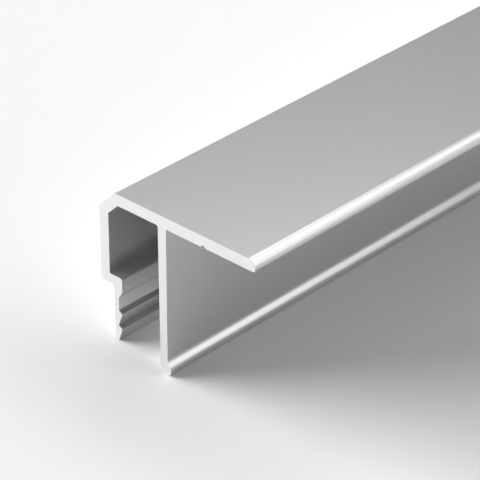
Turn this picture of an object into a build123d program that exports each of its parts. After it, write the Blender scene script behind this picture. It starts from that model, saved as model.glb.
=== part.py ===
from build123d import *
from math import asin, atan2, cos, degrees, hypot, radians, sin, tan
import os

# Stretch ceiling profile: one length of extruded aluminium. The membrane's harpoon is pushed up
# between the lip and the web, springs open in the chamber and hooks over the head of the lip.
#
# The section is drawn as it hangs in use. Across is measured from the outer face of the side wall
# towards the tip of the flange, and up is measured from the ceiling face, so the rest is below 0.
# All sizes are in millimetres.

# Length, as the stock is sold
STOCK_LENGTH = 2000.0

# Top plate, which lies on the ceiling. It runs on past the web as the flange that is screwed up.
# The flange's tip is round from its top face down to a short flat, and rounded again below that.
PLATE_THICKNESS = 1.30
FLANGE_REACH = 12.00
TIP_FLAT = 0.05
TIP_BOTTOM_RADIUS = 0.30

# V groove under the flange, which keeps the drill from wandering
GUIDE_FROM_WEB = 5.11
GUIDE_WIDTH = 0.74
GUIDE_DEPTH = 0.30
GUIDE_ROOT_RADIUS = 0.09

# Side wall, cut across the corner with the plate outside and inside
WALL_THICKNESS = 1.235
WALL_HEIGHT = 10.91
CORNER_CUT = 2.24
INNER_CUT = 1.38
CUT_RADIUS = 0.15
INNER_CUT_RADIUS = 0.25
WALL_FOOT_RADIUS = 0.35

# Chamber between the side wall and the web, above the ledge
CHAMBER_WIDTH = 7.015
CHAMBER_FLOOR_RADIUS = 0.15
CHAMBER_ROOF_RADIUS = 0.30

# Web, upright on its flange side and tapered on its chamber side
WEB_ROOT_THICKNESS = 1.12
WEB_END_THICKNESS = 1.00
WEB_ROOT_RADIUS = 0.20

# Foot of the web: it steps out on the flange side, and slopes down to a round nose on the other
SECTION_HEIGHT = 18.60
FOOT_STEP = 0.46
FOOT_STEP_START = 1.64
FOOT_STEP_END = 0.86
FOOT_HOLLOW_RADIUS = 1.20
FOOT_SHOULDER_RADIUS = 1.25
FOOT_SLOPE = 35.3
FOOT_HEEL_RADIUS = 0.15
NOSE_RADIUS = 0.42

# Ledge, and the lip that hangs from it, set back from the side wall
LEDGE_THICKNESS = 1.11
LIP_SET_BACK = 1.845
LIP_ROOT_RADIUS = 0.15
LIP_END_RADIUS = 0.20
HEAD_THICKNESS = 1.155
HEAD_HEIGHT = 1.70
HEAD_SLOPE_HEIGHT = 0.72
HEAD_RADIUS = 0.25
RECESS_THICKNESS = 0.62
RECESS_HEIGHT = 1.57
RECESS_RADIUS = 0.15

# Teeth down the inner face of the lip
TOOTH_COUNT = 2
TOOTH_PITCH = 1.82
TOOTH_TOP_HEIGHT = 0.32
TOOTH_ROOT_THICKNESS = 0.54
TOOTH_TIP_THICKNESS = 1.07
TOOTH_TIP_RADIUS = 0.08

# Places that follow from the sizes
CHAMBER_LEFT = WALL_THICKNESS
WEB_LEFT = CHAMBER_LEFT + CHAMBER_WIDTH
WEB_RIGHT = WEB_LEFT + WEB_ROOT_THICKNESS
TIP = WEB_RIGHT + FLANGE_REACH
TIP_TOP_RADIUS = PLATE_THICKNESS - TIP_FLAT - TIP_BOTTOM_RADIUS
SOFFIT = -PLATE_THICKNESS
LEDGE_BOTTOM = -WALL_HEIGHT
LEDGE_TOP = LEDGE_BOTTOM + LEDGE_THICKNESS
HEAD_BOTTOM = LEDGE_TOP - HEAD_HEIGHT
RECESS_TOP = HEAD_BOTTOM - HEAD_SLOPE_HEIGHT
RECESS_BOTTOM = RECESS_TOP - RECESS_HEIGHT
LIP_BOTTOM = RECESS_BOTTOM - TOOTH_COUNT * TOOTH_PITCH
NOSE_ACROSS = WEB_RIGHT + FOOT_STEP - NOSE_RADIUS
NOSE_UP = NOSE_RADIUS - SECTION_HEIGHT

# Each function below gives corners of the outline as (across, up, radius), in order from the
# flange's tip round under the section to the top of the side wall. Radius 0 leaves a corner sharp.


def flange_tip():
    return [
        (TIP, 0, TIP_TOP_RADIUS),
        (TIP, SOFFIT, TIP_BOTTOM_RADIUS),
    ]


def drill_guide():
    centre = WEB_RIGHT + GUIDE_FROM_WEB
    return [
        (centre + GUIDE_WIDTH / 2, SOFFIT, 0),
        (centre, SOFFIT + GUIDE_DEPTH, GUIDE_ROOT_RADIUS),
        (centre - GUIDE_WIDTH / 2, SOFFIT, 0),
    ]


def web_and_foot():
    # The slope under the foot touches the nose's circle. Its line, run on both ways, gives the
    # corner that the nose rounds off and the heel where the slope leaves the web.
    slope = radians(FOOT_SLOPE)
    line_under_nose = NOSE_UP - NOSE_RADIUS / cos(slope)
    corner_up = line_under_nose - NOSE_RADIUS * tan(slope)
    heel = WEB_RIGHT - WEB_END_THICKNESS
    heel_up = line_under_nose + (NOSE_ACROSS - heel) * tan(slope)
    return [
        (WEB_RIGHT, SOFFIT, WEB_ROOT_RADIUS),
        (WEB_RIGHT, FOOT_STEP_START - SECTION_HEIGHT, FOOT_HOLLOW_RADIUS),
        (WEB_RIGHT + FOOT_STEP, FOOT_STEP_END - SECTION_HEIGHT, FOOT_SHOULDER_RADIUS),
        (WEB_RIGHT + FOOT_STEP, corner_up, NOSE_RADIUS),
        (heel, heel_up, FOOT_HEEL_RADIUS),
    ]


def chamber():
    return [
        (WEB_LEFT, SOFFIT, CHAMBER_ROOF_RADIUS),
        (CHAMBER_LEFT + INNER_CUT, SOFFIT, INNER_CUT_RADIUS),
        (CHAMBER_LEFT, SOFFIT - INNER_CUT, INNER_CUT_RADIUS),
        (CHAMBER_LEFT, LEDGE_TOP, CHAMBER_FLOOR_RADIUS),
    ]


def lip_head():
    return [
        (LIP_SET_BACK + HEAD_THICKNESS, LEDGE_TOP, HEAD_RADIUS),
        (LIP_SET_BACK + HEAD_THICKNESS, HEAD_BOTTOM, HEAD_RADIUS),
        (LIP_SET_BACK + RECESS_THICKNESS, RECESS_TOP, RECESS_RADIUS),
        (LIP_SET_BACK + RECESS_THICKNESS, RECESS_BOTTOM, 0),
    ]


def lip_teeth():
    corners = []
    for tooth in range(TOOTH_COUNT):
        top = RECESS_BOTTOM - tooth * TOOTH_PITCH
        corners += [
            (LIP_SET_BACK + TOOTH_TIP_THICKNESS, top - TOOTH_TOP_HEIGHT, TOOTH_TIP_RADIUS),
            (LIP_SET_BACK + TOOTH_ROOT_THICKNESS, top - TOOTH_PITCH, 0),
        ]
    return corners


def lip_back_and_wall():
    return [
        (LIP_SET_BACK, LIP_BOTTOM, LIP_END_RADIUS),
        (LIP_SET_BACK, LEDGE_BOTTOM, LIP_ROOT_RADIUS),
        (0, LEDGE_BOTTOM, WALL_FOOT_RADIUS),
        (0, -CORNER_CUT, CUT_RADIUS),
        (CORNER_CUT, 0, CUT_RADIUS),
    ]


def section():
    corners = flange_tip() + drill_guide() + web_and_foot() + chamber()
    corners += lip_head() + lip_teeth() + lip_back_and_wall()
    points = [(across, up) for across, up, radius in corners]
    radii = [radius for across, up, radius in corners]
    with BuildSketch(Plane.XZ) as sketch:
        with BuildLine():
            FilletPolyline(*points, radius=radii, close=True)
        make_face()
    return sketch.sketch


def rest_tilt():
    # Unheld, the length stands on two lines: the nose, and the lip's outer bottom corner. The
    # floor touches both of those circles, and this is its angle to the ceiling face.
    run = NOSE_ACROSS - (LIP_SET_BACK + LIP_END_RADIUS)
    rise = LIP_BOTTOM + LIP_END_RADIUS - NOSE_UP
    centres = atan2(rise, run)
    return degrees(centres + asin((NOSE_RADIUS - LIP_END_RADIUS) / hypot(run, rise)))


def ceiling_profile():
    # +X crosses the section towards the flange's tip, +Y runs along the length, and +Z is up from
    # the floor that the length stands on. The origin is under the middle of its box.
    length = extrude(section(), amount=STOCK_LENGTH / 2, both=True)
    standing = Rot(0, -rest_tilt(), 0) * length
    box = standing.bounding_box()
    return Pos(-box.center().X, -box.center().Y, -box.min.Z) * standing


os.makedirs("parts", exist_ok=True)
profile = ceiling_profile()
export_step(profile, "parts/ceiling_profile.step")

size = profile.bounding_box().size
print(f"box {size.X:.3f} x {size.Y:.1f} x {size.Z:.3f}, rest tilt {rest_tilt():.3f} degrees")
print(f"section {profile.volume / STOCK_LENGTH:.3f} mm2, lip bottom {LIP_BOTTOM:.3f}")
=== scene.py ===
# %% [markdown]
# # Stretch ceiling profile
#
# This is one length of extruded aluminium. It is screwed up under a ceiling by its flange, and the
# stiff edge of a stretched membrane, called a harpoon, is pushed up past its toothed lip into the
# chamber, where it springs open and holds. An extrusion has one section all along, so the whole
# shape comes from one drawing of that section, pulled out to the length of the stock.
#
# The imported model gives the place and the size. This lesson makes its looks.

# %% Load the frame
import math

import bmesh
import bpy
from mathutils import Matrix, Vector


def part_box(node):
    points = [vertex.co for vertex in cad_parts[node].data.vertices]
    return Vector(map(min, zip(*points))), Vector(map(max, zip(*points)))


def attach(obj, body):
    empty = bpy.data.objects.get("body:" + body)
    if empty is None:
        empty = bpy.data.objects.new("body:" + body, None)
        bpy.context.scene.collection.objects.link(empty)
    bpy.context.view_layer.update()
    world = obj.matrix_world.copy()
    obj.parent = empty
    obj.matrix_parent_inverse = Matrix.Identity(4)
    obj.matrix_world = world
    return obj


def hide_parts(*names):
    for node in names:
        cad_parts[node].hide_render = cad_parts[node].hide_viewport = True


MM = 0.001

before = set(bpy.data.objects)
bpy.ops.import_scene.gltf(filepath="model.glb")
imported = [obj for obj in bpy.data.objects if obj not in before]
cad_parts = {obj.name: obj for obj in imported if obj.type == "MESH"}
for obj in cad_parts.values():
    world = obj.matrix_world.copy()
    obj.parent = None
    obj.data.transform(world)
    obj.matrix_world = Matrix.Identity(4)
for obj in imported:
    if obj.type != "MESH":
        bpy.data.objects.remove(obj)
cad_low, cad_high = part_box("ceiling_profile")
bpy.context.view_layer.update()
stock_length = cad_high.y - cad_low.y
print("box", [round(side / MM, 3) for side in cad_high - cad_low], "mm")

# %% [markdown]
# ## Side wall
#
# The section is drawn as it hangs in use. "Across" starts at the side wall's outer face and runs to
# the tip of the flange, and "up" starts at the ceiling, so everything else is below zero. The sizes
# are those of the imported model, in millimetres, so the dressed piece lies on it exactly.
#
# The side wall goes against the wall of the room. Its top corner is cut off, which leaves room for
# the filler in the corner of the room. A corner could be placed by eye in the editor, but a list of
# corners, each with the radius that rounds it, keeps every size where it can be read and changed.

# %% Corners of the side wall
WALL_THICKNESS = 1.235
WALL_HEIGHT = 10.91
WALL_FOOT_RADIUS = 0.35
CORNER_CUT = 2.24
CUT_RADIUS = 0.15

wall_corners = [
    (0, -WALL_HEIGHT, WALL_FOOT_RADIUS),
    (0, -CORNER_CUT, CUT_RADIUS),
    (CORNER_CUT, 0, CUT_RADIUS),
]
print(f"side wall {WALL_THICKNESS} x {WALL_HEIGHT} mm, {len(wall_corners)} corners")

# %% [markdown]
# ## Chamber
#
# The harpoon springs open in this hollow, between the side wall and the web. It is shut by the top
# plate above and by the ledge below, and its corner is cut like the one outside, so that the metal
# stays about as thick round the corner as it is in the wall. It could be taken out of a solid block
# with a Boolean. Since the outline simply turns in and out again, four more corners do the same.

# %% Corners of the chamber
PLATE_THICKNESS = 1.30
LEDGE_THICKNESS = 1.11
CHAMBER_WIDTH = 7.015
CHAMBER_ROOF_RADIUS = 0.30
CHAMBER_FLOOR_RADIUS = 0.15
INNER_CUT = 1.38
INNER_CUT_RADIUS = 0.25

soffit = -PLATE_THICKNESS
web_left = WALL_THICKNESS + CHAMBER_WIDTH
ledge_top = LEDGE_THICKNESS - WALL_HEIGHT
chamber_corners = [
    (web_left, soffit, CHAMBER_ROOF_RADIUS),
    (WALL_THICKNESS + INNER_CUT, soffit, INNER_CUT_RADIUS),
    (WALL_THICKNESS, soffit - INNER_CUT, INNER_CUT_RADIUS),
    (WALL_THICKNESS, ledge_top, CHAMBER_FLOOR_RADIUS),
]
print(f"chamber {CHAMBER_WIDTH} x {soffit - ledge_top:.2f} mm")

# %% [markdown]
# ## Web and its foot
#
# The web hangs from the plate and is the other side of the throat that the harpoon passes. It gets
# a little thinner on the way down, and ends in a foot that steps out on the side of the flange and
# slopes up on the other, so that the membrane runs over a round nose and never over an edge. The
# slope has to touch the nose's circle, so its line is worked out from that circle, and the corner
# that the nose rounds off and the heel where the slope leaves the web both lie on it.

# %% Corners of the web and the foot
WEB_ROOT_THICKNESS = 1.12
WEB_END_THICKNESS = 1.00
WEB_ROOT_RADIUS = 0.20
SECTION_HEIGHT = 18.60
FOOT_STEP = 0.46
FOOT_STEP_START = 1.64
FOOT_STEP_END = 0.86
FOOT_HOLLOW_RADIUS = 1.20
FOOT_SHOULDER_RADIUS = 1.25
FOOT_HEEL_RADIUS = 0.15
FOOT_SLOPE = math.radians(35.3)
NOSE_RADIUS = 0.42

web_right = web_left + WEB_ROOT_THICKNESS
heel = web_right - WEB_END_THICKNESS
nose_across = web_right + FOOT_STEP - NOSE_RADIUS
nose_up = NOSE_RADIUS - SECTION_HEIGHT
slope_under_nose = nose_up - NOSE_RADIUS / math.cos(FOOT_SLOPE)
foot_corner_up = slope_under_nose - NOSE_RADIUS * math.tan(FOOT_SLOPE)
heel_up = slope_under_nose + (nose_across - heel) * math.tan(FOOT_SLOPE)
web_corners = [
    (web_right, soffit, WEB_ROOT_RADIUS),
    (web_right, FOOT_STEP_START - SECTION_HEIGHT, FOOT_HOLLOW_RADIUS),
    (web_right + FOOT_STEP, FOOT_STEP_END - SECTION_HEIGHT, FOOT_SHOULDER_RADIUS),
    (web_right + FOOT_STEP, foot_corner_up, NOSE_RADIUS),
    (heel, heel_up, FOOT_HEEL_RADIUS),
]
print(f"web from {web_left:.2f} to {web_right:.2f} mm, heel at {heel_up:.2f} mm")

# %% [markdown]
# ## Flange with its drill guide
#
# The top plate runs on past the web as the flange that is screwed to the ceiling. Its tip is round
# from the top face down to a short flat, which is where the light runs along it. The fine groove
# underneath keeps a drill from wandering. A groove in a finished plate could be cut with a Boolean,
# but a die makes it with all the rest, and here it is three more corners in the underside, two of
# them left sharp.

# %% Corners of the flange
FLANGE_REACH = 12.00
TIP_FLAT = 0.05
TIP_BOTTOM_RADIUS = 0.30
GUIDE_FROM_WEB = 5.11
GUIDE_WIDTH = 0.74
GUIDE_DEPTH = 0.30
GUIDE_ROOT_RADIUS = 0.09

tip = web_right + FLANGE_REACH
tip_top_radius = PLATE_THICKNESS - TIP_FLAT - TIP_BOTTOM_RADIUS
guide = web_right + GUIDE_FROM_WEB
flange_corners = [
    (tip, 0, tip_top_radius),
    (tip, soffit, TIP_BOTTOM_RADIUS),
    (guide + GUIDE_WIDTH / 2, soffit, 0),
    (guide, soffit + GUIDE_DEPTH, GUIDE_ROOT_RADIUS),
    (guide - GUIDE_WIDTH / 2, soffit, 0),
]
print(f"flange reaches {tip:.2f} mm, guide at {guide:.2f} mm")

# %% [markdown]
# ## Lip with its head and teeth
#
# The lip hangs from the ledge, set back from the side wall. Its head is the catch that the harpoon
# hooks over. Under the head lies a recess, and then two teeth that let the harpoon up but not down.
# The teeth are alike, so they are written once, in a loop that steps down by their pitch. An Array
# modifier could repeat them too, but then they would not be part of the one outline.

# %% Corners of the lip
LIP_SET_BACK = 1.845
LIP_ROOT_RADIUS = 0.15
LIP_END_RADIUS = 0.20
HEAD_THICKNESS = 1.155
HEAD_HEIGHT = 1.70
HEAD_SLOPE_HEIGHT = 0.72
HEAD_RADIUS = 0.25
RECESS_THICKNESS = 0.62
RECESS_HEIGHT = 1.57
RECESS_RADIUS = 0.15

head_bottom = ledge_top - HEAD_HEIGHT
recess_top = head_bottom - HEAD_SLOPE_HEIGHT
recess_bottom = recess_top - RECESS_HEIGHT
lip_corners = [
    (LIP_SET_BACK + HEAD_THICKNESS, ledge_top, HEAD_RADIUS),
    (LIP_SET_BACK + HEAD_THICKNESS, head_bottom, HEAD_RADIUS),
    (LIP_SET_BACK + RECESS_THICKNESS, recess_top, RECESS_RADIUS),
    (LIP_SET_BACK + RECESS_THICKNESS, recess_bottom, 0),
]
print(f"throat {web_left - LIP_SET_BACK - HEAD_THICKNESS:.2f} mm")

# %% Teeth, and back up the lip's outer side
TOOTH_COUNT = 2
TOOTH_PITCH = 1.82
TOOTH_TOP_HEIGHT = 0.32
TOOTH_ROOT_THICKNESS = 0.54
TOOTH_TIP_THICKNESS = 1.07
TOOTH_TIP_RADIUS = 0.08

for tooth in range(TOOTH_COUNT):
    tooth_top = recess_bottom - tooth * TOOTH_PITCH
    lip_corners += [
        (LIP_SET_BACK + TOOTH_TIP_THICKNESS, tooth_top - TOOTH_TOP_HEIGHT, TOOTH_TIP_RADIUS),
        (LIP_SET_BACK + TOOTH_ROOT_THICKNESS, tooth_top - TOOTH_PITCH, 0),
    ]
lip_bottom = recess_bottom - TOOTH_COUNT * TOOTH_PITCH
lip_corners += [
    (LIP_SET_BACK, lip_bottom, LIP_END_RADIUS),
    (LIP_SET_BACK, -WALL_HEIGHT, LIP_ROOT_RADIUS),
]
print(f"{TOOTH_COUNT} teeth, lip ends at {lip_bottom:.2f} mm")

# %% [markdown]
# ## Rounded corners
#
# A die is cut with small round tools, so hardly a corner of an extrusion is quite sharp. A bevel
# would round each corner too, but away from a right angle its curve is only near a circle, and this
# length stands on two such corners. So each rounding is swung: one point starts where the straight
# side ends, and Spin carries it round the centre of the circle.

# %% Swing a point round a corner
ARC_STEP = math.radians(9)
FEWEST_STEPS = 2
print(f"a step turns {math.degrees(ARC_STEP):.0f} degrees at most")


def swing_corner(bm, before, corner, after, radius):
    to_before = (before - corner).normalized()
    to_after = (after - corner).normalized()
    turn = math.pi - to_before.angle(to_after)
    reach = radius * math.tan(turn / 2)
    first = bm.verts.new(corner + to_before * reach)
    if radius == 0:
        return first, first
    centre = corner + (to_before + to_after).normalized() * radius / math.cos(turn / 2)
    swung = bmesh.ops.spin(
        bm,
        geom=[first],
        cent=centre,
        axis=(first.co - centre).cross(corner + to_after * reach - centre).normalized(),
        angle=turn,
        steps=max(FEWEST_STEPS, math.ceil(turn / ARC_STEP)),
    )
    return first, swung["geom_last"][0]


# %% [markdown]
# ## The section, and its length
#
# The corners are joined in order, from the tip of the flange round under the section to the top of
# the side wall. Straight edges join the arcs, one face fills the ring, and the real die's work is
# then a single extrude. A curve with a bevel profile could sweep the section too. The mesh way
# leaves one long face for each flat, which is all that a straight piece needs.

# %% Draw the section at the near end
corners = flange_corners + web_corners + chamber_corners + lip_corners + wall_corners
places = [Vector((across * MM, cad_low.y, up * MM)) for across, up, radius in corners]
solid = bmesh.new()
arcs = []
for i, (across, up, radius) in enumerate(corners):
    after = places[(i + 1) % len(places)]
    arcs.append(swing_corner(solid, places[i - 1], places[i], after, radius * MM))
for i in range(len(arcs)):
    solid.edges.new((arcs[i - 1][1], arcs[i][0]))
filled = bmesh.ops.edgeloop_fill(solid, edges=list(solid.edges))
print(f"{len(corners)} corners, {len(solid.verts)} points, {len(filled['faces'])} face")

# %% Pull it out to the length of the stock
pulled = bmesh.ops.extrude_face_region(solid, geom=list(solid.faces), use_keep_orig=True)
far_end = [v for v in pulled["geom"] if isinstance(v, bmesh.types.BMVert)]
bmesh.ops.translate(solid, vec=(0, stock_length, 0), verts=far_end)
bmesh.ops.recalc_face_normals(solid, faces=solid.faces)
print(f"volume {solid.calc_volume() / MM ** 3:.0f} mm3, {len(solid.faces)} faces")

# %% [markdown]
# ## The faces in one order
#
# Extrude makes the long faces in an order that changes from run to run. It shows nowhere, but a
# model that is saved should come out the same each time. The points are always in one order, so
# the faces are sorted by the lowest and the highest number of their points. No two faces share
# both of these.

# %% Sort the faces
def order_of(face):
    numbers = [v.index for v in face.verts]
    return min(numbers) * len(solid.verts) + max(numbers)


solid.verts.index_update()
solid.faces.sort(key=order_of)
print(f"{len({order_of(face) for face in solid.faces})} faces told apart and sorted")

# %% [markdown]
# ## How it stands
#
# Nothing holds the length here, so it leans until it stands on two lines: the nose of the web and
# the outer corner of the lip. The lean is the angle of the line that touches both of those circles.
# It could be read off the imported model, but worked out from the section it stays right when a size
# changes. The mesh itself is turned and moved, and the object stays at the origin.

# %% Lean it, and set it on the floor
run = nose_across - (LIP_SET_BACK + LIP_END_RADIUS)
rise = lip_bottom + LIP_END_RADIUS - nose_up
tilt = math.atan2(rise, run) + math.asin((NOSE_RADIUS - LIP_END_RADIUS) / math.hypot(run, rise))
lean = Matrix.Rotation(-tilt, 4, "Y")
bmesh.ops.transform(solid, matrix=lean, verts=solid.verts)
left = min(v.co.x for v in solid.verts)
right = max(v.co.x for v in solid.verts)
low = min(v.co.z for v in solid.verts)
to_floor = Vector(((cad_low.x + cad_high.x - left - right) / 2, 0, cad_low.z - low))
bmesh.ops.translate(solid, vec=to_floor, verts=solid.verts)
print(f"leans {math.degrees(tilt):.2f} degrees")

# %% [markdown]
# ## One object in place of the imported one
#
# The arcs are smooth and the flats are flat. Shade Smooth alone would bend the light near each
# arc, and Shade Flat would show its steps. So every face is smooth, edges that turn by far more
# than a step of an arc are kept sharp, and a Weighted Normal modifier gives the large flats their
# own straight shading. The object then rides the one body and stands in for its solid.

# %% Make the mesh and hand it to the frame
SHARP_FROM = math.radians(24)
ONLY_THE_LARGEST_COUNT = 100

mesh = bpy.data.meshes.new("profile")
solid.to_mesh(mesh)
solid.free()
for polygon in mesh.polygons:
    polygon.use_smooth = True
mesh.set_sharp_from_angle(angle=SHARP_FROM)
profile = bpy.data.objects.new("profile", mesh)
bpy.context.scene.collection.objects.link(profile)
flats = profile.modifiers.new("flats_stay_flat", "WEIGHTED_NORMAL")
flats.keep_sharp = True
flats.weight = ONLY_THE_LARGEST_COUNT
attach(profile, "root")
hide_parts("ceiling_profile")
print(f"profile: {len(mesh.vertices)} points, {len(mesh.polygons)} faces")

# %% [markdown]
# ## A pattern drawn out along the length
#
# Whatever marks the metal does it along one line: the die drags lines down the length, and the saw
# draws its strokes across the end. Both are a noise stretched along that line. A painted picture
# would need unwrapping and would blur close up, while noise on object coordinates stays crisp at
# any distance. The stretch is one scale for each axis, in marks per metre.

# %% Stretched marks that vary the gloss and the surface
MICROMETRE = 1.0e-6
NOISE_DETAIL = 2


def add_marks(material, marks_per_metre, gloss_range, depth):
    nodes, links = material.node_tree.nodes, material.node_tree.links
    shader = nodes["Principled BSDF"]
    place = nodes.new("ShaderNodeTexCoord")
    stretch = nodes.new("ShaderNodeMapping")
    stretch.inputs["Scale"].default_value = marks_per_metre
    marks = nodes.new("ShaderNodeTexNoise")
    marks.inputs["Scale"].default_value = 1
    marks.inputs["Detail"].default_value = NOISE_DETAIL
    gloss = nodes.new("ShaderNodeMapRange")
    gloss.inputs["To Min"].default_value, gloss.inputs["To Max"].default_value = gloss_range
    relief = nodes.new("ShaderNodeBump")
    relief.inputs["Distance"].default_value = depth
    links.new(place.outputs["Object"], stretch.inputs["Vector"])
    links.new(stretch.outputs["Vector"], marks.inputs["Vector"])
    links.new(marks.outputs["Fac"], gloss.inputs["Value"])
    links.new(gloss.outputs["Result"], shader.inputs["Roughness"])
    links.new(marks.outputs["Fac"], relief.inputs["Height"])
    links.new(relief.outputs["Normal"], shader.inputs["Normal"])
    print(f"{material.name}: marks {depth / MICROMETRE:.1f} micrometres deep")


# %% [markdown]
# ## Satin skin
#
# The skin is clear anodised aluminium: first etched matt and then sealed under a clear hard layer
# of oxide. It reflects as soft grey, without a mirror image. A metal with some roughness gives
# that, and a part that isn't metal gives the milky light of the layer in places that see only
# dark. The die lines are hardly there, so they only stir the gloss.
#
# The Principled shader does all of this, from a grey, how much of it is metal, and the gloss. The
# ends and the floor need the same few lines, so they are written once, with the gloss left open.

# %% A grey finish
def grey_finish(name, grey, metal):
    finish = bpy.data.materials.new(name)
    finish.use_nodes = True
    shader = finish.node_tree.nodes["Principled BSDF"]
    shader.inputs["Base Color"].default_value = (grey, grey, grey, 1)
    shader.inputs["Metallic"].default_value = metal
    print(f"{name}: grey {grey}, metal {metal}")
    return finish


# %% Skin
SKIN_GREY = 0.68
SKIN_METAL = 0.8
SKIN_GLOSS = (0.30, 0.34)
DIE_LINES_PER_METRE = (2500, 8, 2500)
DIE_LINE_DEPTH = 1.0 * MICROMETRE

skin = grey_finish("satin_skin", SKIN_GREY, SKIN_METAL)
add_marks(skin, DIE_LINES_PER_METRE, SKIN_GLOSS, DIE_LINE_DEPTH)

# %% [markdown]
# ## Sawn ends
#
# A fine saw cuts the stock after it is anodised, so the ends show bare metal, lighter than the skin
# and a little rougher. A separate piece for each end would need its own edge, so the two end faces
# only get a second material. The strokes of the saw run across the section.

# %% Ends
END_GREY = 0.82
END_METAL = 1
END_GLOSS = (0.42, 0.48)
SAW_STROKES_PER_METRE = (60, 60, 3000)
SAW_STROKE_DEPTH = 1.0 * MICROMETRE

sawn = grey_finish("sawn_end", END_GREY, END_METAL)
add_marks(sawn, SAW_STROKES_PER_METRE, END_GLOSS, SAW_STROKE_DEPTH)

# %% Skin all over, and the sawn finish where a face looks along the length
LOOKS_ALONG = 0.9

mesh.materials.append(skin)
mesh.materials.append(sawn)
for polygon in mesh.polygons:
    polygon.material_index = 1 if abs(polygon.normal.y) > LOOKS_ALONG else 0
print(f"{sum(p.material_index for p in mesh.polygons)} sawn faces")

# %% [markdown]
# ## Camera
#
# The picture shows the near end from the side of the flange and from above. Four things fix the
# view: the way the long edges run, the shape of the end face, how the edges draw together with
# distance, and where one corner lies in the picture. They were measured for the section as it hangs
# in use, so the camera is placed beside that section first, and then leans and moves with it. The
# lens is long because the edges hardly draw together.

# %% The way the camera looks
AZIMUTH = math.radians(42.95)
ELEVATION = math.radians(31.04)
ROLL = math.radians(0.109)

level_right = Vector((math.cos(AZIMUTH), math.sin(AZIMUTH), 0))
forward = Vector((
    -math.sin(AZIMUTH) * math.cos(ELEVATION),
    math.cos(AZIMUTH) * math.cos(ELEVATION),
    -math.sin(ELEVATION),
))
level_down = forward.cross(level_right)
camera_right = level_right * math.cos(ROLL) - level_down * math.sin(ROLL)
camera_down = level_down * math.cos(ROLL) + level_right * math.sin(ROLL)
print("looks along", [round(v, 3) for v in forward])

# %% Where the camera stands
PICTURE_PIXELS = 480
FOCAL_PIXELS = 2680.4
SIGHT_PIXEL = Vector((114.55, 193.6))
SIGHT_DEPTH = 0.26804
SIGHT_BELOW_CEILING = 0.033

sight_point = Vector((CORNER_CUT * MM, cad_low.y, -SIGHT_BELOW_CEILING * MM))
picture_centre = Vector((PICTURE_PIXELS / 2, PICTURE_PIXELS / 2))
off_centre = (SIGHT_PIXEL - picture_centre) / FOCAL_PIXELS
to_sight = (forward + camera_right * off_centre.x + camera_down * off_centre.y) * SIGHT_DEPTH
turned = Matrix((camera_right, -camera_down, -forward)).transposed().to_4x4()
placed = Matrix.Translation(sight_point - to_sight) @ turned
print(f"the corner by the cut lies {SIGHT_DEPTH / MM:.0f} mm deep in the view")

# %% The camera itself
SENSOR_MM = 36
NEAREST_SEEN = 0.01
FARTHEST_SEEN = 100

camera_data = bpy.data.cameras.new("camera")
camera_data.lens = FOCAL_PIXELS * SENSOR_MM / PICTURE_PIXELS
camera_data.sensor_width = SENSOR_MM
camera_data.clip_start = NEAREST_SEEN
camera_data.clip_end = FARTHEST_SEEN
camera = bpy.data.objects.new("camera", camera_data)
camera.matrix_world = Matrix.Translation(to_floor) @ lean @ placed
bpy.context.scene.collection.objects.link(camera)
bpy.context.scene.camera = camera
print("camera at", [round(v / MM, 1) for v in camera.matrix_world.translation], "mm")

# %% [markdown]
# ## Floor
#
# A plain pale floor gives the length something to stand on and to reflect. A white world would do
# for the background, but nothing would catch the shadow, and the underside would have nothing
# bright to mirror. The floor is very large, so that no view finds its edge. Its size and the lamps'
# distances are in metres, Blender's own unit.

# %% Pale floor
FLOOR_HALF_SIZE = 40
FLOOR_GREY = 0.92
FLOOR_METAL = 0
FLOOR_ROUGHNESS = 0.9

floor_mesh = bpy.data.meshes.new("floor")
ground = bmesh.new()
bmesh.ops.create_grid(ground, x_segments=1, y_segments=1, size=FLOOR_HALF_SIZE)
ground.to_mesh(floor_mesh)
ground.free()
floor = bpy.data.objects.new("floor", floor_mesh)
bpy.context.scene.collection.objects.link(floor)
pale = grey_finish("pale_floor", FLOOR_GREY, FLOOR_METAL)
pale.node_tree.nodes["Principled BSDF"].inputs["Roughness"].default_value = FLOOR_ROUGHNESS
floor_mesh.materials.append(pale)
print(f"floor {2 * FLOOR_HALF_SIZE} m wide")

# %% [markdown]
# ## Wide soft lights, far off
#
# Satin metal shows the lights as much as its own colour, so they are placed by what each face
# mirrors. One wide low lamp at the front left lights the sawn end and the floor, and leaves the
# flange's side and the web in soft shade. Two smaller ones at the back lie where the rounded tip
# mirrors them, so that together they make one broad streak along it. A Sun with a wide angle is
# used, because it is the same all along the two metres. Where it stands makes no difference, only
# the way it faces does. Its strength counts the light on a surface square to it, so a level is
# multiplied by the size of the disc in the sky.

# %% Place a lamp, and note what it gives to a level card
AIM_IN_FROM_END = 0.02
AIM_ABOVE_FLOOR = 0.01

near_end = Vector((0, cad_low.y + AIM_IN_FROM_END, AIM_ABOVE_FLOOR))
card_levels = []
print("lamps face", [round(v, 3) for v in near_end])


def towards(azimuth, elevation):
    azimuth, elevation = math.radians(azimuth), math.radians(elevation)
    return Vector((
        math.cos(elevation) * math.cos(azimuth),
        math.cos(elevation) * math.sin(azimuth),
        math.sin(elevation),
    ))


def place_lamp(data, distance, azimuth, elevation, card_share):
    direction = towards(azimuth, elevation)
    lamp = bpy.data.objects.new(data.name, data)
    lamp.location = near_end + direction * distance
    lamp.rotation_euler = direction.to_track_quat("Z", "Y").to_euler()
    bpy.context.scene.collection.objects.link(lamp)
    card_levels.append(card_share * direction.z)
    print(f"{data.name}: {data.energy:.2f}, lights a level card to {card_levels[-1]:.2f}")
    return lamp


# %% Three lamps as wide discs in the sky
SUN_DISTANCE = 1


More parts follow.
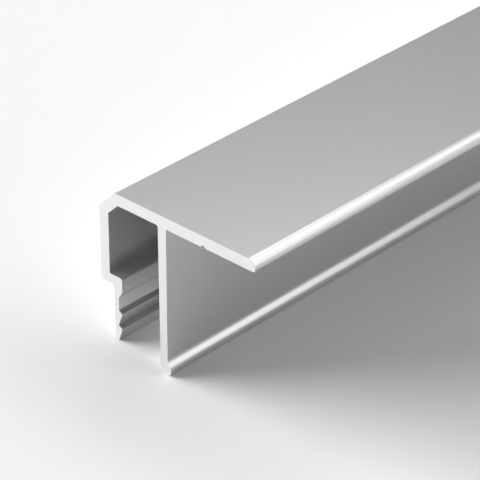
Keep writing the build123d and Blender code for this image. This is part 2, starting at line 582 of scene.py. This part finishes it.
def far_light(name, azimuth, elevation, half_angle, level):
    disc = math.sin(math.radians(half_angle)) ** 2
    data = bpy.data.lights.new(name, "SUN")
    data.angle = 2 * math.radians(half_angle)
    data.energy = level * math.pi * disc
    place_lamp(data, SUN_DISTANCE, azimuth, elevation, level * disc)


far_light("front_left_low", azimuth=-148, elevation=16, half_angle=24, level=12.0)
far_light("back", azimuth=87, elevation=50, half_angle=14, level=2.05)
far_light("back_right", azimuth=56, elevation=40, half_angle=14, level=2.1)

# %% [markdown]
# ## Three soft boxes close by
#
# Along the top plate and along the foot, the light fades from the near end to the far one. A lamp
# far off can't do that. A square Area lamp close to the near end can, because each place on the
# metal mirrors another part of it. The top plate mirrors the two on the left, and the foot and the
# lower half of the tip mirror the one on the right. They stay hidden from the camera. Such a box
# also throws a glaring pool on the floor in front of it. A grid of slats stops that in a studio,
# and so does Spread here. It packs the same watts into a smaller angle, so they are divided by the
# gain.

# %% Soft boxes
BOX_DISTANCE = 0.50
BOX_SPREAD = math.radians(100)

slope_at_edge = math.tan(BOX_SPREAD / 2)
gain_ahead = slope_at_edge / (slope_at_edge - BOX_SPREAD / 2)
print(f"a box is {gain_ahead:.2f} times as bright straight ahead")


def soft_box(name, azimuth, elevation, side, level):
    data = bpy.data.lights.new(name, "AREA")
    data.shape = "SQUARE"
    data.size = side
    data.spread = BOX_SPREAD
    data.energy = level * math.pi * side ** 2 / gain_ahead
    share = level * side ** 2 / BOX_DISTANCE ** 2 / math.pi
    lamp = place_lamp(data, BOX_DISTANCE, azimuth, elevation, share)
    lamp.visible_camera = False


soft_box("box_left", azimuth=144, elevation=46, side=0.255, level=1.55)
soft_box("box_back_left", azimuth=130, elevation=50, side=0.255, level=1.85)
soft_box("box_right", azimuth=32, elevation=21, side=0.225, level=2.6)

# %% [markdown]
# ## A strip of light under the throat
#
# The chamber is lit from below, through the throat: its wall is lighter towards the top, a dark
# band lies over the ledge, and the head of the lip shines. Under the real thing the ground is
# bright, but this floor lies in the length's own shade there. More light from outside would wash
# out the web before it reached the chamber. So one narrow lamp lies on the floor beside the foot
# of the web, as long as the stock and no brighter than white paper, and faces up.

# %% Strip
STRIP_LEVEL = 0.85
STRIP_WIDTH = 1.6
STRIP_ACROSS = -1.55
STRIP_UP = 0.3

strip_data = bpy.data.lights.new("strip", "AREA")
strip_data.shape = "RECTANGLE"
strip_data.size = STRIP_WIDTH * MM
strip_data.size_y = stock_length
strip_data.energy = STRIP_LEVEL * math.pi * strip_data.size * strip_data.size_y
strip = bpy.data.objects.new("strip", strip_data)
strip.location = (STRIP_ACROSS * MM, 0, STRIP_UP * MM)
strip.rotation_euler.y = math.pi
strip.visible_camera = False
bpy.context.scene.collection.objects.link(strip)
print(f"strip {STRIP_WIDTH} mm wide under the throat, {STRIP_LEVEL} of white")

# %% [markdown]
# ## World
#
# A faint white world fills the shadows from all round, so that no side is quite black. With it, a
# level card gets about one unit of light, at which a colour renders about as it is written.
#
# From low down, a view also looks past the floor. A pale wall could stand there, but it would
# catch the low lamp and throw its light back. So the world itself turns pale in a low band, and
# Light Path keeps that band for the camera and for reflections. It lights nothing.

# %% Faint white world
SKY_LEVEL = 0.05

studio = bpy.data.worlds.new("studio")
bpy.context.scene.world = studio
studio.use_nodes = True
nodes, links = studio.node_tree.nodes, studio.node_tree.links
background = nodes["Background"]
background.inputs["Color"].default_value = (1, 1, 1, 1)
print(f"a level card is lit to {sum(card_levels) + SKY_LEVEL:.2f} of white")

# %% How high the pale band reaches
BACKDROP_LEVEL = 0.6
BACKDROP_TOP = math.radians(6)
BACKDROP_FADES_OUT = math.radians(8)

looking = nodes.new("ShaderNodeTexCoord")
parts = nodes.new("ShaderNodeSeparateXYZ")
band = nodes.new("ShaderNodeMapRange")
band.inputs["From Min"].default_value = math.sin(BACKDROP_TOP)
band.inputs["From Max"].default_value = math.sin(BACKDROP_FADES_OUT)
band.inputs["To Min"].default_value = BACKDROP_LEVEL - SKY_LEVEL
band.inputs["To Max"].default_value = 0
links.new(looking.outputs["Generated"], parts.inputs["Vector"])
links.new(parts.outputs["Z"], band.inputs["Value"])
print(f"backdrop {math.degrees(BACKDROP_FADES_OUT):.0f} degrees high")

# %% The camera and reflections see it
ray = nodes.new("ShaderNodeLightPath")
seen = nodes.new("ShaderNodeMath")
seen.operation = "MAXIMUM"
seen_or_through = nodes.new("ShaderNodeMath")
seen_or_through.operation = "MAXIMUM"
strength = nodes.new("ShaderNodeMath")
strength.operation = "MULTIPLY_ADD"
strength.inputs[2].default_value = SKY_LEVEL
links.new(ray.outputs["Is Camera Ray"], seen.inputs[0])
links.new(ray.outputs["Is Glossy Ray"], seen.inputs[1])
links.new(seen.outputs["Value"], seen_or_through.inputs[0])
links.new(ray.outputs["Is Transmission Ray"], seen_or_through.inputs[1])
links.new(band.outputs["Result"], strength.inputs[0])
links.new(seen_or_through.outputs["Value"], strength.inputs[1])
links.new(strength.outputs["Value"], background.inputs["Strength"])
print(f"world: {SKY_LEVEL} all round, {BACKDROP_LEVEL} in the band")

# %% [markdown]
# ## View
#
# The Standard view shows colours as they are, with nothing added for film.

# %% View
bpy.context.scene.view_settings.view_transform = "Standard"
